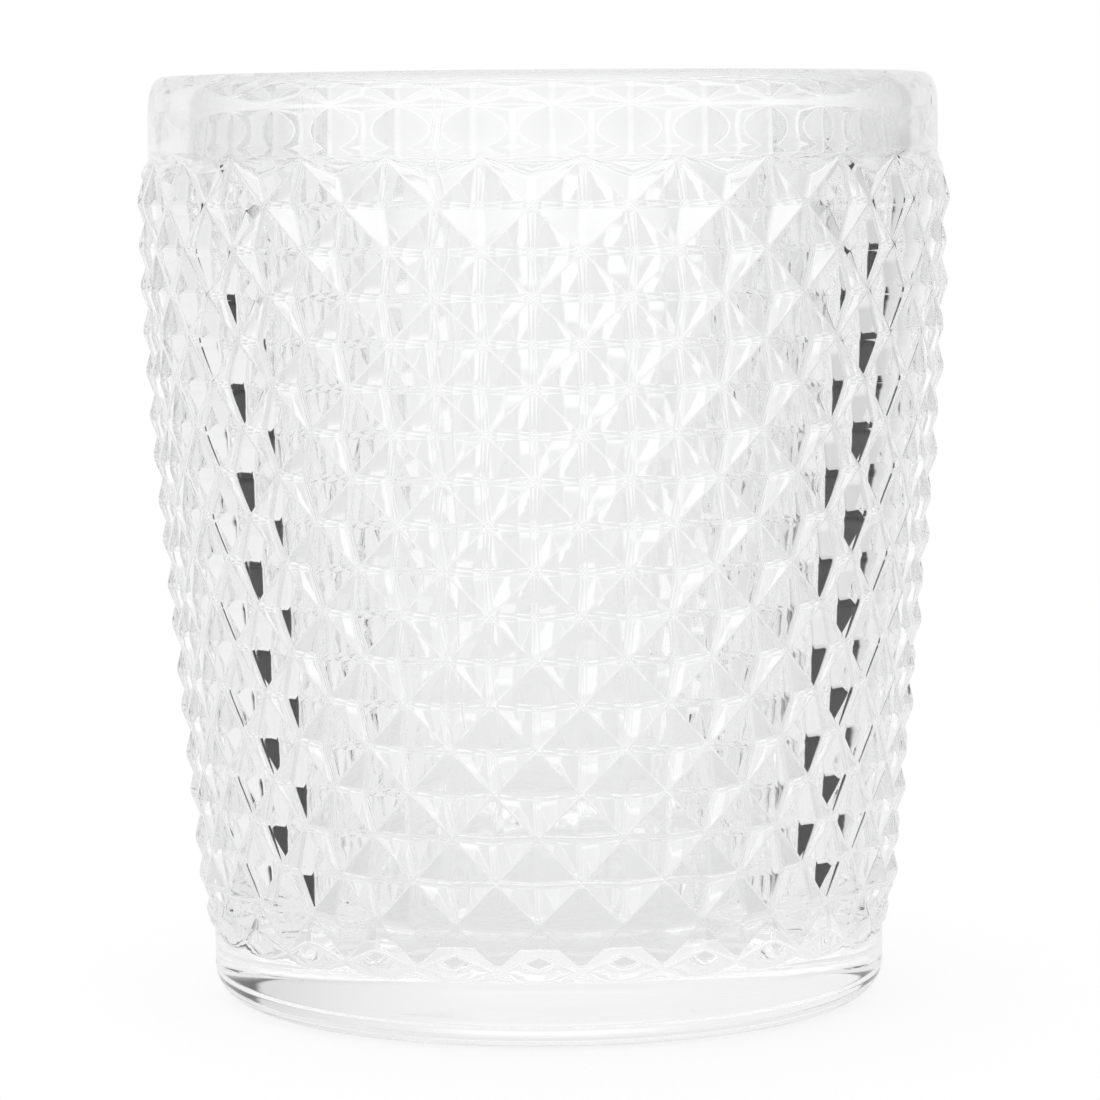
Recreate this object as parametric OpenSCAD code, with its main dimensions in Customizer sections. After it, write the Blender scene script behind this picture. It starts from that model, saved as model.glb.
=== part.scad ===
// Pressed glass tumbler with an all-over belt of diamond points.
// Millimetres. +Z is up, the origin is the centre of the base on the table.

/* [Overall] */
// Height from the table to the top of the rim
glass_h = 95; // [76:0.5:115]
// Outside diameter of the smooth band under the rim
rim_d = 81.2; // [66:0.2:98]
// Outside diameter of the smooth band round the heel
heel_d = 69.6; // [57:0.2:84]

/* [Bands] */
// Height of the smooth band under the rim
rim_band_h = 8.4; // [4:0.1:16]
// Height of the smooth heel, from the table to the first row of diamonds
heel_h = 8.1; // [5:0.1:16]
// Radius of the rounded edge between the heel and the base
heel_round = 3.4; // [1:0.1:4.5]

/* [Wall and base] */
// Wall thickness at the rim
rim_wall = 3; // [2:0.1:5]
// Height over which the outside of the rim rounds over
rim_round = 3.3; // [1.5:0.1:6]
// How much thinner the rim is than the wall just under it
rim_step = 0.72; // [0:0.02:1.2]
// Wall thickness at the floor of the cavity, measured at the grooves
floor_wall = 5; // [3:0.1:8]
// Thickness of glass under the middle of the cavity
base_h = 8; // [6:0.1:20]
// Radius of the corner between the cavity's floor and its wall
floor_round = 6; // [3:0.5:14]
// Height over which the side turns from upright to its full taper
blend_h = 34; // [5:1:55]
// Depth of the shallow dish in the underside
dish_h = 0.8; // [0.2:0.1:2]
// Width of the flat ring that the tumbler stands on
stand_w = 2.6; // [1:0.1:6]

/* [Diamonds] */
// Diamonds around the tumbler
diamonds_around = 27; // [16:1:36]
// Steps between rows of diamond points, from the heel to the rim band
diamond_steps = 18; // [8:1:24]
// Height of each point above the grooves
diamond_h = 1.4; // [0.6:0.1:2]
// How far the grooves are sunk below the smooth bands
groove_sink = 0.08; // [0.05:0.01:0.2]

/* [Hidden] */
$fn = 180;

rim_r = rim_d / 2;
heel_r = heel_d / 2;
belt_z0 = heel_h;
belt_z1 = glass_h - rim_band_h;
belt_h = belt_z1 - belt_z0;
pitch = belt_h / diamond_steps;
columns = 2 * diamonds_around;
side_slope = (rim_r - heel_r) / (belt_h - blend_h / 2);

// The end rows are half diamonds. Each is cut short at cut_at of a step and slopes back
// to the band beside it, which it meets at heel_edge or rim_edge of a step from its row.
cut_at = 0.38;
heel_edge = -0.2;
rim_edge = 0.04;
shoulder_swell = 0.75;

// The inside of the wall steps back to the thinner rim within the height of the rim band.
step_low = 0.6;
step_rise = 6;

// The belt is a sleeve that is let into the solid wall: its ends run under the bands,
// its back lies inside the wall, and the wall itself stops just under the grooves.
tuck_h = 1.2;
tuck_r = 0.5;
sleeve_t = 1.2;
core_gap = 0.5;
band_lap = 0.15;

arc_steps = 8;
core_steps = 12;

// Outside radius of the plain side at height z: upright at the rim band, then an easy
// curve, then a straight taper to the heel.
function side_r(z) =
    let (drop = min(max(belt_z1 - z, 0), belt_h))
    drop < blend_h
        ? rim_r - side_slope * drop * drop / (2 * blend_h)
        : rim_r - side_slope * (drop - blend_h / 2);

function groove_r(z) = side_r(z) - groove_sink;

// Points along an oval in the section, from angle a0 to angle a1
function oval(centre, radii, a0, a1) =
    [for (i = [0 : arc_steps])
        let (a = a0 + (a1 - a0) * i / arc_steps)
        centre + [radii[0] * cos(a), radii[1] * sin(a)]];

function arc(centre, r, a0, a1) = oval(centre, [r, r], a0, a1);

// A soft start and a soft end, for part from 0 to 1
function ease(part) = part * part * (3 - 2 * part);

// Half section of the glass: underside, heel, side under the belt, rim and cavity
function wall_section() =
    let (
        stand_r = heel_r - heel_round,
        dish_r = stand_r - stand_w,
        dish_R = (dish_r * dish_r + dish_h * dish_h) / (2 * dish_h),
        dish_a = asin(dish_r / dish_R),
        lip = rim_wall / 2,
        crown = min(rim_round, rim_band_h - 0.5),
        floor_r = side_r(base_h) - floor_wall,
        mouth_r = rim_r - rim_wall,
        neck_r = mouth_r - rim_step,
        step_z0 = belt_z1 + min(step_low, rim_band_h / 10),
        step_z1 = min(step_z0 + step_rise, glass_h - lip - 0.1),
        lean = atan((neck_r - floor_r) / (step_z0 - base_h)),
        corner_x = floor_r - floor_round * (1 - sin(lean)) / cos(lean),
        core_z = [for (i = [0 : core_steps])
            belt_z0 + band_lap + (belt_h - 2 * band_lap) * i / core_steps]
    )
    concat(
        arc([0, dish_h - dish_R], dish_R, 90, 90 - dish_a),
        arc([stand_r, heel_round], heel_round, -90, 0),
        [[heel_r, core_z[0]]],
        [for (z = core_z) [side_r(z) - core_gap, z]],
        [[rim_r, core_z[core_steps]]],
        oval([rim_r - lip, glass_h - crown], [lip, crown], 0, 90),
        arc([rim_r - lip, glass_h - lip], lip, 100, 180),
        [for (i = [0 : arc_steps])
            let (part = 1 - i / arc_steps)
            [neck_r + rim_step * ease(part), step_z0 + (step_z1 - step_z0) * part]],
        arc([corner_x, base_h + floor_round], floor_round, -lean, -90),
        [[0, base_h]]
    );

// A lattice crossing is a peak or a groove crossing, in turn
function is_peak(row, col) = (row + col) % 2 == 1;

function on_side(z, rise) = [groove_r(z) + rise, z];

// Section point of the belt at a row and column of its lattice
function lattice_point(row, col) =
    let (
        z = belt_z0 + row * pitch,
        inward = row == 0 ? 1 : row == diamond_steps ? -1 : 0
    )
    is_peak(row, col)
        ? on_side(z + inward * cut_at * pitch, (inward == 0 ? 1 : 1 - cut_at) * diamond_h)
        : on_side(z, 0);

// Section points of one end of a column, from its last lattice point to under the band
function end_points(row, col) =
    let (
        inward = row == 0 ? 1 : -1,
        z = belt_z0 + row * pitch,
        edge_z = z + inward * pitch * (row == 0 ? heel_edge : rim_edge),
        cut_z = z + inward * pitch * cut_at,
        cut_rise = (1 - cut_at) * diamond_h,
        tuck = [groove_r(z) - tuck_r, z - inward * tuck_h]
    )
    is_peak(row, col)
        ? [on_side((cut_z + edge_z) / 2, cut_rise * shoulder_swell), on_side(edge_z, 0), tuck]
        : [for (part = [1 : 3]) on_side(z, 0) + (tuck - on_side(z, 0)) * part / 3];

// Closed section of the belt in one column: up its face, then down its back
function column_section(col) =
    let (
        low = end_points(0, col),
        high = end_points(diamond_steps, col)
    )
    concat(
        [low[2], low[1], low[0]],
        [for (row = [0 : diamond_steps]) lattice_point(row, col)],
        high,
        [high[2] - [sleeve_t - tuck_r, 0], low[2] - [sleeve_t - tuck_r, 0]]
    );

function turned(p, col) =
    let (a = 360 * col / columns - 90)
    [p[0] * cos(a), p[0] * sin(a), p[1]];

// Sleeve of four-sided points. Every facet is one flat triangle of the lattice, split
// along its groove.
module diamond_belt() {
    sections = [for (col = [0 : columns - 1]) column_section(col)];
    rings = len(sections[0]);
    first_row = 3;
    points = [for (col = [0 : columns - 1]) for (p = sections[col]) turned(p, col)];
    faces = [
        for (col = [0 : columns - 1])
            for (ring = [0 : rings - 1])
                let (
                    next_col = (col + 1) % columns,
                    next_ring = (ring + 1) % rings,
                    a = col * rings + ring,
                    b = next_col * rings + ring,
                    c = next_col * rings + next_ring,
                    d = col * rings + next_ring,
                    groove_from_a = !is_peak(ring + first_row, col)
                )
                each (groove_from_a ? [[a, c, b], [a, d, c]] : [[a, d, b], [d, c, b]])
    ];
    polyhedron(points = points, faces = faces, convexity = 6);
}

module tumbler() {
    color([0.90, 0.94, 0.94, 0.45])
    union() {
        rotate_extrude()
        polygon(wall_section());
        diamond_belt();
    }
}

tumbler();
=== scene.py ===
import math

import bmesh
import bpy
from bpy.props import FloatProperty, FloatVectorProperty, IntProperty, PointerProperty
from mathutils import Matrix, Vector


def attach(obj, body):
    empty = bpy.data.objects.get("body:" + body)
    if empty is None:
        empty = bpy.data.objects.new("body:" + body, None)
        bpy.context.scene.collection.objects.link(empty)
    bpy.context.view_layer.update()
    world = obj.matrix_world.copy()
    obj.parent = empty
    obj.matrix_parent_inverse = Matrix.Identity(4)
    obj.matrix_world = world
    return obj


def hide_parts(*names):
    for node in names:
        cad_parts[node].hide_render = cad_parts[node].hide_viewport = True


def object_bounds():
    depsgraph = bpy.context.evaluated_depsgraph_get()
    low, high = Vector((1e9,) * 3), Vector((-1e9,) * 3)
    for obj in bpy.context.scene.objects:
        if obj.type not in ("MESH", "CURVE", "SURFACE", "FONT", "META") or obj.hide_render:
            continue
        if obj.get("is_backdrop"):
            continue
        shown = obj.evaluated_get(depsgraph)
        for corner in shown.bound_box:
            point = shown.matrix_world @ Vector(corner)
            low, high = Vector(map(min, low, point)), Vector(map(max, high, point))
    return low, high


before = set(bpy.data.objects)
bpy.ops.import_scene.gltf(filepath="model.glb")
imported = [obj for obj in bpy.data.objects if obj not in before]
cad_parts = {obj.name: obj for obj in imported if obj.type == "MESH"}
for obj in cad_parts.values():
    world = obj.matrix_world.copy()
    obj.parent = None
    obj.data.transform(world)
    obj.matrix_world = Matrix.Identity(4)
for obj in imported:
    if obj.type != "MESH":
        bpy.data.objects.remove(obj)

bl_info = {
    "name": "Pressed Glass Tumbler",
    "version": (1, 0, 0),
    "blender": (4, 5, 0),
    "location": "View3D > Sidebar > Tumbler",
    "description": "Builds a diamond-point pressed tumbler in clear glass, and its studio",
    "category": "Add Mesh",
}

MM = 0.001
CAD_LOW, CAD_HIGH = (corner.copy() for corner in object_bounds())


def length(name, description, default_mm, low_mm=0.01):
    """A size property in metres, from its value in millimetres."""
    return FloatProperty(
        name=name, description=description, default=default_mm * MM, min=low_mm * MM,
        unit="LENGTH", subtype="DISTANCE", precision=5,
    )


# ---------------------------------------------------------------- sizes and looks


class TumblerSizes(bpy.types.PropertyGroup):
    """The sizes of the glass, as its maker would give them."""

    height: length("Height", "Table to the top of the rim", CAD_HIGH.z / MM)
    rim_radius: length("Rim radius", "Outside radius of the smooth band under the rim", 40.6)
    heel_radius: length("Heel radius", "Outside radius of the smooth heel", 34.8)
    rim_band: length("Rim band", "Height of the smooth band under the rim", 8.4)
    heel_band: length("Heel band", "Height of the smooth heel", 8.1)
    heel_round: length("Heel round", "Radius of the edge between heel and base", 3.4)
    rim_wall: length("Rim wall", "Wall thickness at the rim", 3.0)
    rim_round: length("Rim round", "Height over which the outside of the rim rounds over", 3.3)
    rim_step: length("Rim step", "How much thinner the rim is than the wall under it", 0.72)
    step_low: length("Step start", "Height of the step above the foot of the rim band", 0.6)
    step_rise: length("Step rise", "Height over which the wall thins to the rim", 6.0)
    floor_wall: length("Floor wall", "Wall thickness at the floor of the cavity", 5.0)
    base: length("Base", "Thickness of glass under the cavity", 8.0)
    floor_round: length("Floor round", "Radius between the cavity's floor and wall", 6.0)
    blend: length("Side curve", "Height over which the side turns to its full taper", 34.0)
    dish: length("Dish", "Depth of the shallow dish in the underside", 0.8)
    stand_ring: length("Stand ring", "Width of the flat ring that the glass stands on", 2.6)
    diamonds: IntProperty(
        name="Diamonds", description="Diamond points round the glass", default=27, min=8,
    )
    steps: IntProperty(
        name="Steps", description="Steps between rows of points", default=18, min=4,
    )
    point: length("Point height", "Height of each point above the grooves", 1.4)
    ridge_soft: length("Ridge softness", "Half width of the fire-polished ridges", 0.5)
    groove_soft: length("Groove softness", "Half width of the rounded grooves", 0.14)


class GlassLook(bpy.types.PropertyGroup):
    """The finish of the glass."""

    tint: FloatVectorProperty(
        name="Tint", description="Colour of the glass", subtype="COLOR",
        default=(0.985, 0.987, 0.987), min=0, max=1,
    )
    tint_change: FloatProperty(
        name="Tint change", description="How much deeper the tint is in the cords", default=0.02,
        min=0, max=0.2,
    )
    ior: FloatProperty(
        name="Refractive index", description="How strongly the glass bends light", default=1.51,
        min=1, max=2,
    )
    ripple: length("Ripple", "Depth of the chill ripple left by the mould", 0.012, 0.0)
    streaks: length("Streaks", "Depth of the streaks round the rim and the heel", 0.004, 0.0)
    mottle: length("Mottle", "Depth of the fine mottling in patches", 0.006, 0.0)
    seam: FloatProperty(
        name="Seam bearing", description="Bearing of the first mould seam",
        default=math.radians(-20), subtype="ANGLE", unit="ROTATION",
    )
    seam_height: length("Seam height", "Height of the three mould seams", 0.04, 0.0)
    seam_width: length("Seam width", "Half width of a mould seam", 0.22)
    gloss: FloatProperty(
        name="Roughness", description="Roughness of the clean glass", default=0.01,
        min=0, max=1, subtype="FACTOR",
    )
    gloss_change: FloatProperty(
        name="Roughness change", description="Added roughness in the duller patches",
        default=0.03, min=0, max=1, subtype="FACTOR",
    )


class StudioLook(bpy.types.PropertyGroup):
    """The floor, the light and the camera."""

    floor_tone: FloatProperty(
        name="Floor tone", description="Lightness of the floor's own colour", default=0.2,
        min=0, max=1, subtype="FACTOR",
    )
    floor_light: FloatProperty(
        name="Floor light", description="Light that comes up through the floor", default=0.7,
        min=0, max=2,
    )
    floor_lift: FloatProperty(
        name="Floor lift", description="Extra white of the floor in plain view", default=0.13,
        min=0, max=1,
    )
    floor_radius: length("Floor radius", "Where the floor fades out", 420.0)
    camera_range: length("Camera distance", "Axis of the glass to the lens", 463.3)
    camera_height: length("Camera height", "Lens above the table", 89.1)
    camera_turn: FloatProperty(
        name="Camera turn", description="Camera's bearing round the glass",
        default=math.radians(-5.117), subtype="ANGLE", unit="ROTATION",
    )
    camera_tilt: FloatProperty(
        name="Camera tilt", description="How far the camera looks down",
        default=math.radians(5.33), subtype="ANGLE", unit="ROTATION",
    )
    camera_roll: FloatProperty(
        name="Camera roll", description="Roll of the camera about its own line of sight",
        default=math.radians(-0.44), subtype="ANGLE", unit="ROTATION",
    )
    tent: FloatProperty(
        name="Tent", description="Brightness of the pale tent round the glass", default=0.92,
        min=0, max=4,
    )
    window: FloatProperty(
        name="Window", description="Extra brightness of the zone behind the glass",
        default=0.16, min=0, max=4,
    )
    shade: FloatProperty(
        name="Shade", description="How much darker the right side of the tent is",
        default=0.26, min=0, max=1,
    )
    top_light: FloatProperty(
        name="Top light", description="Extra brightness overhead", default=0.35, min=0, max=4,
    )
    flag_depth: FloatProperty(
        name="Flags", description="How much light the two black flags take away",
        default=0.985, min=0, max=1, subtype="FACTOR",
    )


# ---------------------------------------------------------------- section of the glass


class Section:
    """The turned shape of the glass, as radii and heights in metres."""

    def __init__(self, size):
        self.size = size
        self.low = size.heel_band
        self.high = size.height - size.rim_band
        self.belt = self.high - self.low
        self.pitch = self.belt / size.steps
        self.slope = (size.rim_radius - size.heel_radius) / (self.belt - size.blend / 2)

    def side(self, z):
        """Outside radius at the grooves: upright, then a long curve, then a taper."""
        drop = min(max(self.high - z, 0), self.belt)
        if drop < self.size.blend:
            return self.size.rim_radius - self.slope * drop * drop / (2 * self.size.blend)
        return self.size.rim_radius - self.slope * (drop - self.size.blend / 2)

    def inside(self, z):
        """Inside radius: a straight draft, with a step out to the thinner rim."""
        s = self.size
        floor = self.side(s.base) - s.floor_wall
        neck = s.rim_radius - s.rim_wall - s.rim_step
        up = min((z - s.base) / (self.high - s.base), 1)
        part = min(max((z - self.high - s.step_low) / s.step_rise, 0), 1)
        return floor + (neck - floor) * up + s.rim_step * part * part * (3 - 2 * part)

    def rim_and_cavity(self):
        """Points from the top of the belt, over the rim and down inside to the axis."""
        s = self.size
        lip = s.rim_wall / 2
        crown = (s.rim_radius - lip, s.height - s.rim_round)
        points = [(s.rim_radius, self.high + part * (crown[1] - self.high))
                  for part in (0.1, 0.55)]
        points += oval(crown, lip, s.rim_round, 0, 90, 12)
        points += oval((crown[0], s.height - lip), lip, lip, 90, 180, 8)[1:]
        floor_top = s.base + s.floor_round
        lean = math.atan((self.inside(floor_top + 2 * MM) - self.inside(floor_top)) / (2 * MM))
        mouth, neck = s.height - lip, self.high + s.step_low
        floor = s.base + s.floor_round * (1 - math.sin(lean))
        heights = [mouth + (neck - mouth) * i / 12 for i in range(1, 13)]
        heights += [neck + (floor - neck) * i / 14 for i in range(1, 15)]
        points += [(self.inside(z), z) for z in heights]
        corner = points[-1][0] - s.floor_round * math.cos(lean)
        points += arc((corner, floor_top), s.floor_round, -math.degrees(lean), -90, 12)[1:]
        points += [(corner * part, s.base) for part in (0.85, 0.6, 0.35, 0.15)]
        return points

    def heel_and_base(self):
        """Points from the bottom of the belt, round the heel and under to the axis."""
        s = self.size
        stand = s.heel_radius - s.heel_round
        dish = stand - s.stand_ring
        dish_curve = (dish * dish + s.dish * s.dish) / (2 * s.dish)
        dish_angle = math.degrees(math.asin(dish / dish_curve))
        edge = self.low - 0.3 * self.pitch
        points = [(s.heel_radius, edge), (s.heel_radius, (edge + s.heel_round) / 2)]
        points += arc((stand, s.heel_round), s.heel_round, 0, -90, 10)
        points += arc((0, s.dish - dish_curve), dish_curve, 90 - dish_angle, 90, 8)[:-1]
        return points


def oval(centre, across, up, start, end, steps):
    """Points along an oval arc, with its angles in degrees."""
    turns = [math.radians(start + (end - start) * i / steps) for i in range(steps + 1)]
    return [(centre[0] + across * math.cos(a), centre[1] + up * math.sin(a)) for a in turns]


def arc(centre, radius, start, end, steps):
    """Points along an arc, with its angles in degrees."""
    return oval(centre, radius, radius, start, end, steps)


# ---------------------------------------------------------------- mesh of the glass

# Cuts in each edge at the end of the belt, so that its slope to the band is round
EDGE_CUTS = 3
# Where the end rows are cut short, and how far the heel's edge dips, in steps of the lattice
CUT_AT = 0.38
HEEL_DIP = 0.2
# Share of the ridge softness that the edge of the slope has, and what it gains at a peak
SOFT_AT_GROOVE = 0.25
SOFTER_AT_PEAK = 0.6
# Points closer than this are one point
JOIN = 1e-6


def turned(radius, angle, z):
    """A point at a bearing of the glass, where bearing 0 is the front."""
    return Vector((radius * math.sin(angle), -radius * math.cos(angle), z))


def bearing(co):
    """The bearing of a point round the glass."""
    return math.atan2(co.x, -co.y)


class Glass:
    """The mesh of the tumbler, made in one bmesh."""

    def __init__(self, size):
        self.size = size
        self.cut = Section(size)
        self.bm = bmesh.new()
        self.soft = self.bm.edges.layers.float.new("bevel_weight_edge")
        self.half = math.pi / size.diamonds

    def is_peak(self, row, col):
        return (row + col) % 2 == 1

    def lattice(self, row, col):
        """Where a crossing of the lattice lies: a peak, a groove crossing or a cut peak."""
        inward = {0: 1, self.size.steps: -1}.get(row, 0)
        z = self.cut.low + row * self.cut.pitch
        rise = 0
        if self.is_peak(row, col):
            z += inward * CUT_AT * self.cut.pitch
            rise = self.size.point * (1 - CUT_AT if inward else 1)
        return turned(self.cut.side(z) + rise, col * self.half, z)

    def one_diamond_column(self):
        """Two lattice columns of a grid, folded into half-diamond facets."""
        steps = self.size.steps
        grid = bmesh.ops.create_grid(self.bm, x_segments=2, y_segments=steps, size=1)
        grooves = []
        for v in grid["verts"]:
            col = round(v.co.x + 1)
            row = round((v.co.y + 1) * steps / 2)
            v.co = self.lattice(row, col)
            if not self.is_peak(row, col):
                grooves.append(v)
        bmesh.ops.connect_verts(self.bm, verts=grooves)
        crossings = set(grooves)
        for e in self.bm.edges:
            groove = all(v in crossings for v in e.verts)
            e[self.soft] = self.size.groove_soft / self.size.ridge_soft if groove else 1.0

    def turn_belt(self):
        """Copies the column all the way round and joins the copies."""
        turns = self.size.diamonds - 1
        bmesh.ops.spin(
            self.bm, geom=self.bm.verts[:] + self.bm.edges[:] + self.bm.faces[:],
            cent=(0, 0, 0), axis=(0, 0, 1), dvec=(0, 0, 0), use_duplicate=True,
            angle=2 * math.pi * turns / self.size.diamonds, steps=turns,
        )
        bmesh.ops.remove_doubles(self.bm, verts=self.bm.verts, dist=JOIN)

    def end_loop(self, top):
        """The open edges at one end of the glass so far."""
        middle = (self.cut.low + self.cut.high) / 2
        return [e for e in self.bm.edges
                if e.is_boundary and (e.verts[0].co.z > middle) == top]

    def share(self, co):
        """0 at a column that ends in a groove crossing, 1 at one that ends in a cut peak."""
        turn = (bearing(co) / self.half) % 2
        return 1 - abs(turn - 1)

    def grow(self, edges, place):
        """Extrudes an open loop and puts each new point where place says."""
        made = bmesh.ops.extrude_edge_only(self.bm, edges=edges)["geom"]
        for v in made:
            if isinstance(v, bmesh.types.BMVert):
                v.co = place(v.co)
            elif isinstance(v, bmesh.types.BMEdge):
                v[self.soft] = 0
        return [e for e in made if isinstance(e, bmesh.types.BMEdge) and e.is_boundary]

    def shoulder(self, top):
        """The rounded slope between the cut diamonds and a smooth band."""
        cut, size = self.cut, self.size
        loop = self.end_loop(top)
        bmesh.ops.bisect_edges(self.bm, edges=loop, cuts=EDGE_CUTS)
        loop = self.end_loop(top)
        for e in loop:
            middle = (e.verts[0].co + e.verts[1].co) / 2
            e[self.soft] = SOFT_AT_GROOVE + SOFTER_AT_PEAK * self.share(middle)
        end = cut.high if top else cut.low
        band = size.rim_radius if top else size.heel_radius
        dip = 0 if top else HEEL_DIP * cut.pitch
        bulge = 0.25 if top else 0.5
        starts = {}

        def edge_of_band(co):
            f = self.share(co)
            return band, end - dip * (1 - (1 - f) ** 2)

        def along(part):
            def place(co):
                spot = round(bearing(co) / self.half * 2 * (EDGE_CUTS + 1))
                first = starts.setdefault(spot, (math.hypot(co.x, co.y), co.z))
                last = edge_of_band(co)
                middle = ((first[0] + last[0]) / 2, (first[1] + last[1]) / 2)
                corner = (first[0], last[1])
                pull = [m + (c - m) * bulge for m, c in zip(middle, corner)]
                r, z = [
                    (1 - part) ** 2 * a + 2 * part * (1 - part) * k + part ** 2 * b
                    for a, k, b in zip(first, pull, last)
                ]
                return turned(r, bearing(co), z)
            return place

        for part in (0.55, 1):
            loop = self.grow(loop, along(part))
        bmesh.ops.remove_doubles(self.bm, verts=self.bm.verts, dist=JOIN)
        return self.end_loop(top)

    def follow(self, loop, points):
        """Turns a section on from an open loop, and closes it at the axis."""
        for r, z in points:
            loop = self.grow(loop, lambda co, r=r, z=z: turned(r, bearing(co), z))
        bmesh.ops.contextual_create(self.bm, geom=loop)

    def build(self):
        self.one_diamond_column()
        self.turn_belt()
        ends = [(self.shoulder(True), self.cut.rim_and_cavity()),
                (self.shoulder(False), self.cut.heel_and_base())]
        for loop, points in ends:
            self.follow(loop, points)
        bmesh.ops.recalc_face_normals(self.bm, faces=self.bm.faces)
        for f in self.bm.faces:
            f.smooth = True
        mesh = bpy.data.meshes.new("tumbler_glass")
        self.bm.to_mesh(mesh)
        self.bm.free()
        return mesh


# ---------------------------------------------------------------- shader maths


class Value:
    """A number socket that Python's own operators work on."""

    def __init__(self, tree, socket):
        self.tree = tree
        self.socket = socket

    def math(self, operation, *others):
        return self.tree.node("ShaderNodeMath", {"operation": operation}, [self, *others])

    def __add__(self, other): return self.math("ADD", other)
    def __radd__(self, other): return self.math("ADD", other)
    def __sub__(self, other): return self.math("SUBTRACT", other)
    def __mul__(self, other): return self.math("MULTIPLY", other)
    def __rmul__(self, other): return self.math("MULTIPLY", other)
    def __truediv__(self, other): return self.math("DIVIDE", other)

    def __rsub__(self, other):
        return self.tree.node("ShaderNodeMath", {"operation": "SUBTRACT"}, [other, self])

    def step(self, low, high):
        """A soft step from 0 to 1 as the number goes from low to high."""
        return self.tree.node("ShaderNodeMapRange", {"interpolation_type": "SMOOTHSTEP"}, {
            "Value": self, "From Min": low, "From Max": high})


class Tree:
    """A node tree that takes a node's type, settings and inputs in one call."""

    def __init__(self, tree):
        self.tree = tree
        tree.nodes.clear()

    def node(self, kind, settings=None, inputs=(), output=0):
        n = self.tree.nodes.new(kind)
        for key, value in (settings or {}).items():
            setattr(n, key, value)
        pairs = inputs.items() if isinstance(inputs, dict) else enumerate(inputs)
        for key, value in pairs:
            if isinstance(value, Value):
                self.tree.links.new(value.socket, n.inputs[key])
            elif value is not None:
                n.inputs[key].default_value = value
        return Value(self, n.outputs[output]) if len(n.outputs) else n

    def axes(self, vector):
        """The three numbers of a vector."""
        parts = self.node("ShaderNodeSeparateXYZ", {}, [vector]).socket.node
        return [Value(self, socket) for socket in parts.outputs]


# How fine each pattern in the glass is, in waves to the metre
FINENESS = {
    "ripple": 160.0, "patches": 230.0, "mottle": 1100.0,
    "streaks": 500.0, "seams": 180.0, "cords": 45.0,
}
# What is left of the ripple and of the seams on the smooth bands
BAND_RIPPLE = 0.3
BAND_SEAM = 0.15
# How much longer the streaks are round the glass than up it, and how far a seam wanders
STREAK_TURN = 0.1
SEAM_WANDER = 0.03


def glass_material(look, size):
    """Clear pressed glass, with what the mould and the gob leave in it."""
    mat = bpy.data.materials.new("clear_glass")
    mat.use_nodes = True
    tree = Tree(mat.node_tree)
    place = tree.node("ShaderNodeTexCoord", output="Object")
    x, y, z = tree.axes(place)

    def noise(pattern, detail=0.0, at=place):
        return tree.node("ShaderNodeTexNoise", {}, {
            "Vector": at, "Scale": FINENESS[pattern], "Detail": detail})

    # Ripple and mottling on the belt, streaks on the smooth bands
    belt_top = size.height - size.rim_band
    belt = z.step(size.heel_band, size.heel_band + MM) * (1 - z.step(belt_top, belt_top + MM))
    patches = noise("patches").step(0.45, 0.62)
    out = (x * x + y * y).math("SQRT")
    round_the_glass = tree.node("ShaderNodeCombineXYZ", {}, [out, (x + y) * STREAK_TURN, z])
    streaks = noise("streaks", at=round_the_glass)
    height = noise("ripple", 1.0) * (BAND_RIPPLE + (1 - BAND_RIPPLE) * belt) * look.ripple
    height = height + streaks * (1 - belt) * look.streaks
    height = height + patches * noise("mottle") * belt * look.mottle

    # Three wavy mould seams, a third of a turn apart, and faint on the bands
    third = 2 * math.pi / 3
    wave = tree.node("ShaderNodeTexNoise", {"noise_dimensions": "1D"}, {
        "W": z, "Scale": FINENESS["seams"], "Detail": 0.0})
    turn = x.math("ARCTAN2", 0 - y) - look.seam + (wave - 0.5) * SEAM_WANDER
    whole_turns_on = 10.5
    away = ((turn / third + whole_turns_on).math("FRACT") - 0.5).math("ABSOLUTE")
    gap = away * (third * size.rim_radius)
    seam = (1 - gap.step(0, look.seam_width)) * (BAND_SEAM + (1 - BAND_SEAM) * belt)
    height = height + seam * look.seam_height
    normal = tree.node("ShaderNodeBump", {}, {"Strength": 1.0, "Distance": 1.0, "Height": height})

    # Cords of a deeper tint in the glass, and duller skin where it is mottled
    deep = [c - look.tint_change for c in look.tint]
    colour = tree.node("ShaderNodeMix", {"data_type": "RGBA"}, {
        0: noise("cords"), 6: (*look.tint, 1), 7: (*deep, 1)}, output=2)
    shader = tree.node("ShaderNodeBsdfPrincipled", {}, {
        "Base Color": colour, "Roughness": look.gloss + look.gloss_change * patches,
        "IOR": look.ior, "Transmission Weight": 1.0, "Normal": normal,
    })
    tree.node("ShaderNodeOutputMaterial", {}, {"Surface": shader})
    return mat


# ---------------------------------------------------------------- operators

# Side of the picture, and the lens and the place of the glass's axis in the same units
FRAME_SIDE = 1100
FOCAL = 4480
AXIS_AT = 546

# Zones of the tent in degrees: where each starts, is full, starts to fade and ends
FLAG_BEARINGS = (51, 55, 98, 104)
FLAG_LIFTS = (-4, -2, 22, 32)
WINDOW_BEARINGS = (-14, 0, 10, 22)
WINDOW_FADES = (0, 14)
SHADE_BEARINGS = (12, 62, 100, 140)
TOP_STARTS = (46, 60)

# Where the floor starts to fade and is gone, as shares of its radius
FLOOR_FADES = (0.25, 0.95)


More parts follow.
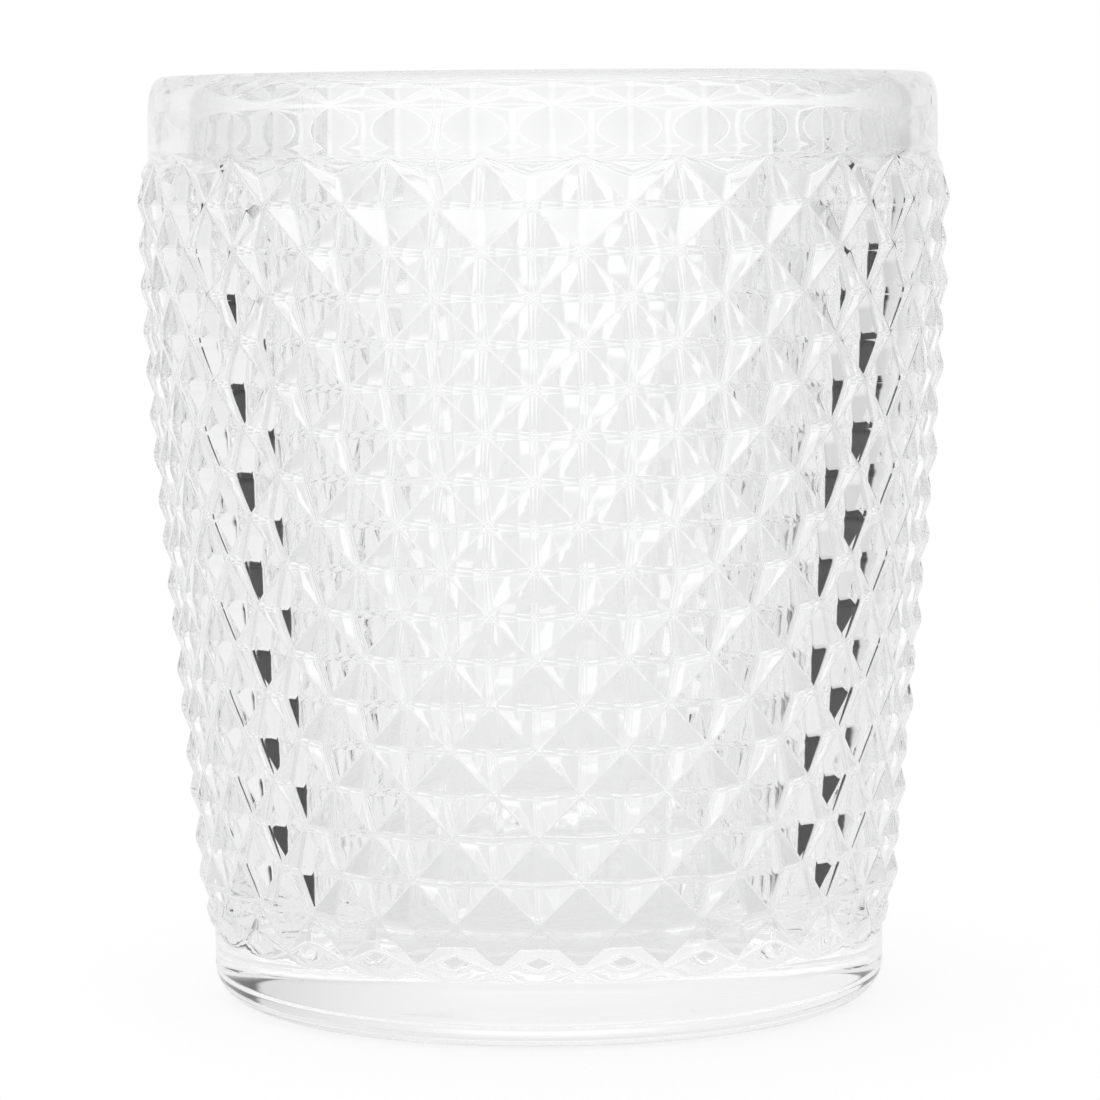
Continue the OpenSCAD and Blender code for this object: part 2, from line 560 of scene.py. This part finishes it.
class TUMBLER_OT_glass(bpy.types.Operator):
    """Build the glass tumbler in place of its plain solid"""

    bl_idname = "tumbler.glass"
    bl_label = "Glass"

    def execute(self, context):
        size = context.scene.tumbler_sizes
        mesh = Glass(size).build()
        piece = bpy.data.objects.new("tumbler_glass", mesh)
        context.collection.objects.link(piece)
        piece.data.materials.append(glass_material(context.scene.tumbler_glass, size))
        bevel = piece.modifiers.new("Fire polish", "BEVEL")
        bevel.limit_method = "WEIGHT"
        bevel.width = size.ridge_soft
        bevel.segments = 4
        bevel.use_clamp_overlap = False
        normals = piece.modifiers.new("Flat facets", "WEIGHTED_NORMAL")
        normals.mode = "FACE_AREA"
        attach(piece, "root")
        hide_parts("tumbler")
        return {"FINISHED"}


class TUMBLER_OT_studio(bpy.types.Operator):
    """Set up the floor, the light and the camera"""

    bl_idname = "tumbler.studio"
    bl_label = "Studio"

    def execute(self, context):
        look = context.scene.tumbler_studio
        self.camera(context, look)
        self.world(context, look)
        self.floor(context, look)
        return {"FINISHED"}

    def camera(self, context, look):
        """A long lens a little under the rim, looking slightly down."""
        data = bpy.data.cameras.new("camera")
        camera = bpy.data.objects.new("camera", data)
        context.collection.objects.link(camera)
        data.sensor_width = 36.0
        data.lens = data.sensor_width * FOCAL / FRAME_SIDE
        data.shift_x = (FRAME_SIDE / 2 - AXIS_AT) / FRAME_SIDE
        data.clip_start, data.clip_end = 0.01, 20
        data.dof.use_dof = False
        upright = math.radians(90)
        aim = Matrix.Rotation(look.camera_turn, 4, "Z")
        aim = aim @ Matrix.Rotation(upright - look.camera_tilt, 4, "X")
        aim = aim @ Matrix.Rotation(look.camera_roll, 4, "Z")
        camera.location = turned(look.camera_range, look.camera_turn, look.camera_height)
        camera.rotation_mode = "QUATERNION"
        camera.rotation_quaternion = aim.to_quaternion()
        context.scene.camera = camera

    def world(self, context, look):
        """A pale tent with a brighter zone behind, a shaded side and two black flags."""
        world = bpy.data.worlds.new("studio")
        context.scene.world = world
        world.use_nodes = True
        tree = Tree(world.node_tree)
        x, y, z = tree.axes(tree.node("ShaderNodeTexCoord", output="Generated"))
        turn = x.math("ARCTAN2", y)
        side = turn.math("ABSOLUTE")
        lift = z.math("ARCSINE")

        def past(angle, edges):
            """0 before two edges in degrees, and 1 after them."""
            return angle.step(*(math.radians(edge) for edge in edges))

        def zone(angle, edges):
            """1 between its edges, and 0 outside them."""
            return past(angle, edges[:2]) * (1 - past(angle, edges[2:]))

        flags = zone(side, FLAG_BEARINGS) * zone(lift, FLAG_LIFTS)
        window = zone(turn, WINDOW_BEARINGS) * (1 - past(lift, WINDOW_FADES))
        shade = zone(turn, SHADE_BEARINGS)
        top = past(lift, TOP_STARTS)
        light = look.tent + look.window * window - look.shade * shade + look.top_light * top
        light = light * (1 - look.flag_depth * flags)
        seen = tree.node("ShaderNodeLightPath", output="Is Camera Ray")
        background = tree.node("ShaderNodeBackground", {}, {
            "Color": (1, 1, 1, 1), "Strength": light + seen * (1 - light)})
        tree.node("ShaderNodeOutputWorld", {}, {"Surface": background})

    def floor(self, context, look):
        """A pale disc that fades into the white round it."""
        bm = bmesh.new()
        bmesh.ops.create_circle(bm, cap_ends=True, segments=96, radius=look.floor_radius)
        mesh = bpy.data.meshes.new("floor")
        bm.to_mesh(mesh)
        bm.free()
        mat = bpy.data.materials.new("pale_floor")
        mat.use_nodes = True
        tree = Tree(mat.node_tree)
        place = tree.node("ShaderNodeTexCoord", output="Object")
        reach = tree.node("ShaderNodeVectorMath", {"operation": "LENGTH"}, [place], "Value")
        fade = reach.step(*(look.floor_radius * part for part in FLOOR_FADES))
        pale = tree.node("ShaderNodeBsdfDiffuse", {}, {"Color": (*[look.floor_tone] * 3, 1)})
        seen = tree.node("ShaderNodeLightPath", output="Is Camera Ray")
        glow = tree.node("ShaderNodeEmission", {}, {
            "Color": (1, 1, 1, 1), "Strength": look.floor_light + look.floor_lift * seen})
        lit = tree.node("ShaderNodeAddShader", {}, [pale, glow])
        clear = tree.node("ShaderNodeBsdfTransparent")
        mixed = tree.node("ShaderNodeMixShader", {}, [fade, lit, clear])
        tree.node("ShaderNodeOutputMaterial", {}, {"Surface": mixed})
        mesh.materials.append(mat)
        floor = bpy.data.objects.new("floor", mesh)
        context.collection.objects.link(floor)
        floor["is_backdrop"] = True


class TUMBLER_PT_panel(bpy.types.Panel):
    """Lists the pieces"""

    bl_label = "Tumbler"
    bl_idname = "TUMBLER_PT_panel"
    bl_space_type = "VIEW_3D"
    bl_region_type = "UI"
    bl_category = "Tumbler"

    def draw(self, context):
        for name in ("tumbler.studio", "tumbler.glass"):
            self.layout.operator(name)


CLASSES = (
    TumblerSizes, GlassLook, StudioLook, TUMBLER_OT_studio, TUMBLER_OT_glass, TUMBLER_PT_panel,
)
GROUPS = {
    "tumbler_sizes": TumblerSizes, "tumbler_glass": GlassLook, "tumbler_studio": StudioLook,
}


def register():
    for cls in CLASSES:
        bpy.utils.register_class(cls)
    for name, group in GROUPS.items():
        setattr(bpy.types.Scene, name, PointerProperty(type=group))


def unregister():
    for name in GROUPS:
        delattr(bpy.types.Scene, name)
    for cls in reversed(CLASSES):
        bpy.utils.unregister_class(cls)


def main():
    register()
    scene = bpy.context.scene
    scene.view_settings.view_transform = "Standard"
    # Light goes through many facets, and turns back inside many of them, before it leaves
    bounces = 32
    scene.cycles.max_bounces = bounces
    scene.cycles.transmission_bounces = bounces
    scene.cycles.glossy_bounces = bounces
    bpy.ops.tumbler.studio()
    bpy.ops.tumbler.glass()
    low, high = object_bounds()
    {"cad": [list(CAD_LOW), list(CAD_HIGH)], "visual": [list(low), list(high)]}


if __name__ == "__main__":
    main()
